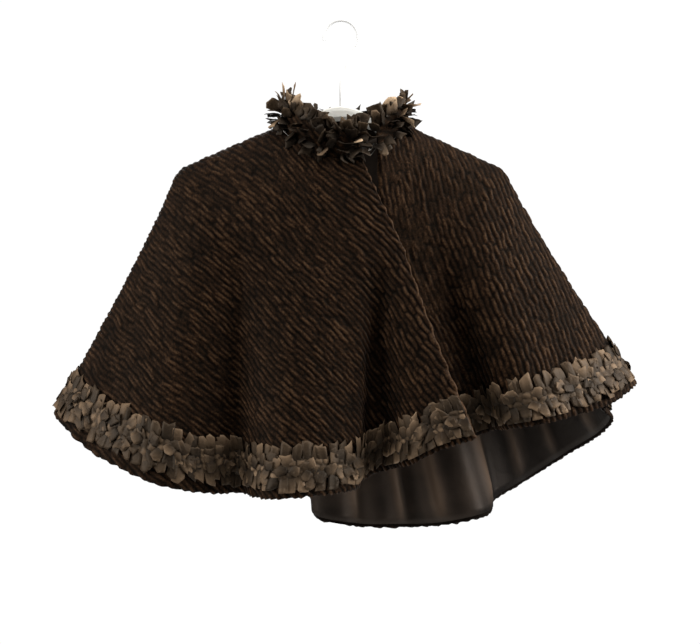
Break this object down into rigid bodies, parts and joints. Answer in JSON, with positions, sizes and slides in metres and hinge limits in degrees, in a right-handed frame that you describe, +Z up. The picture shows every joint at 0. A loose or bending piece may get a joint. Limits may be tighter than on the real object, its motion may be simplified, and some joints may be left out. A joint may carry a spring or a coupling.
{
  "type": "wool cape on a hanger",
  "caption": "Short circular-cut dark wool cape with satin lining, stand collar and ribbon ruches at collar and hem, closed by a hook and eye and hung on a plain hanger",
  "frame": {"origin": "the inside top of the hanger's hook, where a nail or rod holds it", "axes": "+Z up, the cape's closed front faces -Y, +X is to the right of someone facing the front"},
  "size_m": [0.7532, 0.2618, 0.6639],
  "materials": {
    "wool": "crinkled ribbed wool, matt",
    "lining_satin": "soft satin",
    "ribbon": "creased satin ribbon",
    "collar_wool": "matt wool",
    "collar_ribbon": "creased satin ribbon",
    "fastener_steel": "dull wire",
    "painted_wood": "smooth white paint",
    "hook_steel": "pale wire"
  },
  "bodies": {
    "root": {"wool_lap_half": "wool", "wool_underlap_half": "wool", "lining": "lining_satin", "hem_ruche": "ribbon", "collar_band": "collar_wool", "collar_ruche": "collar_ribbon", "neck_hook": "fastener_steel", "neck_eye": "fastener_steel", "hanger_bar": "painted_wood", "hanger_hook": "hook_steel"}
  },
  "joints": []
}
